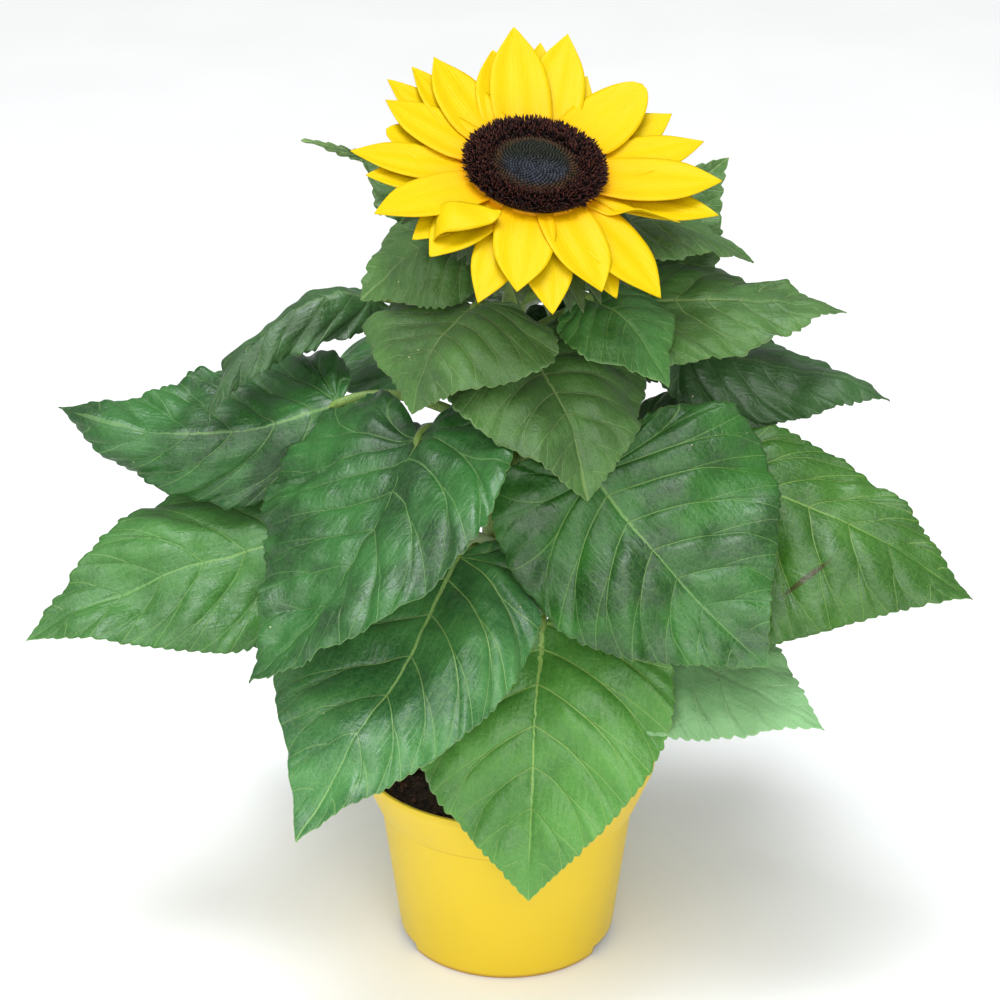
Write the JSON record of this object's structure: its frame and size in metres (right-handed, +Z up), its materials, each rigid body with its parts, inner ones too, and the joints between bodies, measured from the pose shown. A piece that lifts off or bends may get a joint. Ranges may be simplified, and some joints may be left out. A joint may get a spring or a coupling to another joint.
{
  "type": "potted sunflower plant",
  "caption": "Dwarf sunflower in a squat plastic pot, with an open yellow flower above a wide crown of heart-shaped leaves.",
  "frame": {"origin": "centre of the pot's flat underside", "axes": "+Z up, -Y towards the side that the flower faces, +X to the right seen from there"},
  "size_m": [0.3931, 0.3197, 0.3994],
  "materials": {
    "pot": "satin",
    "soil": "rough",
    "stem": "hairy",
    "leaf": "satin",
    "petal": "soft",
    "disc": "rough"
  },
  "bodies": {
    "root": {"pot": "pot", "soil": "soil", "stem": "stem", "calyx": "stem", "ray_petals": "petal", "flower_disc": "disc", "leaf_front_low": "leaf", "leaf_front_left_low": "leaf", "leaf_front_right_low": "leaf", "leaf_left_low": "leaf", "leaf_right_low": "leaf", "leaf_front_left_high": "leaf", "leaf_front_right_high": "leaf", "leaf_left_high": "leaf", "leaf_right_high": "leaf", "leaf_right_under": "leaf", "leaf_left_curled": "leaf", "leaf_front_top": "leaf", "leaf_front_left_top": "leaf", "leaf_front_right_top": "leaf", "leaf_left_top": "leaf", "leaf_right_top": "leaf", "leaf_right_crown": "leaf", "leaf_back_right_crown": "leaf", "leaf_back_left_crown": "leaf", "leaf_back_left_low": "leaf", "leaf_back_low": "leaf", "leaf_back_right_low": "leaf", "leaf_back_left_high": "leaf", "leaf_back_right_high": "leaf", "leaf_back_top": "leaf", "leaf_back_under": "leaf", "leaf_back_right_mid": "leaf", "leaf_back_left_mid": "leaf", "leaf_back_right_small": "leaf"}
  },
  "joints": []
}
